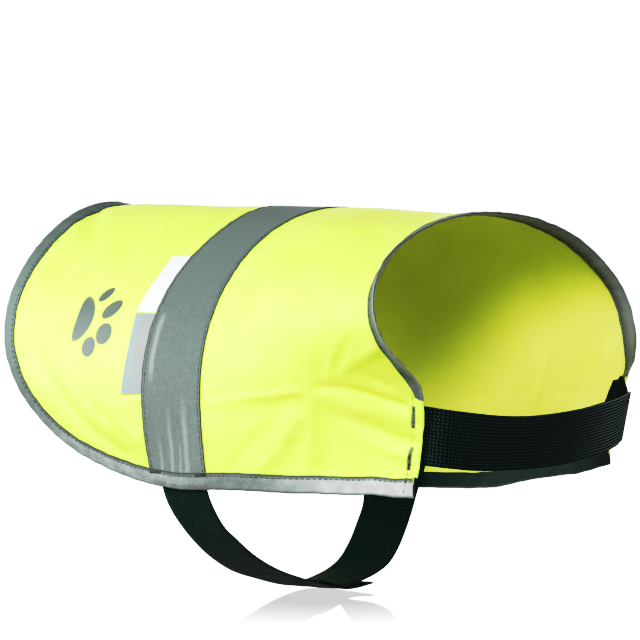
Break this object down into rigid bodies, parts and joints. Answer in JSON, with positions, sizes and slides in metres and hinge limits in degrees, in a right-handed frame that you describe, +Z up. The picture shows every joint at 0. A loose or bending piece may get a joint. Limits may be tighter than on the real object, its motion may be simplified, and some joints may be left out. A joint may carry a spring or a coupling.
{
  "type": "reflective dog vest",
  "caption": "Open-bottomed dog safety vest in fluorescent cloth, arched as if worn, with a reflective band, bound edges, and chest and belly straps joined by hook-and-loop.",
  "frame": {"origin": "on the underside of the back panel, on the spine at the middle of the reflective band, where a wearer's back holds the vest", "axes": "+Z up; +Y from the neck to the tail; +X to the wearer's left"},
  "size_m": [0.2512, 0.3591, 0.2372],
  "materials": {
    "fluorescent_cloth": "fluorescent yellow woven polyester, matt with a slight sheen",
    "reflective_tape": "grey retroreflective tape with a fine grain",
    "strap_black": "black hook-and-loop webbing, ribbed on one face and looped on the other",
    "label_white": "white woven label with nothing on it",
    "label_grey": "light grey reflective label with nothing on it"
  },
  "bodies": {
    "root": {"back_panel": "fluorescent_cloth", "front_hem_right": "fluorescent_cloth", "front_hem_left": "fluorescent_cloth", "reflective_band": "reflective_tape", "hem_binding": "reflective_tape", "neck_binding": "reflective_tape", "chest_strap_right": "strap_black", "chest_strap_left": "strap_black", "belly_strap_right": "strap_black", "belly_strap_left": "strap_black", "label_upper": "label_white", "label_lower": "label_grey"}
  },
  "joints": []
}
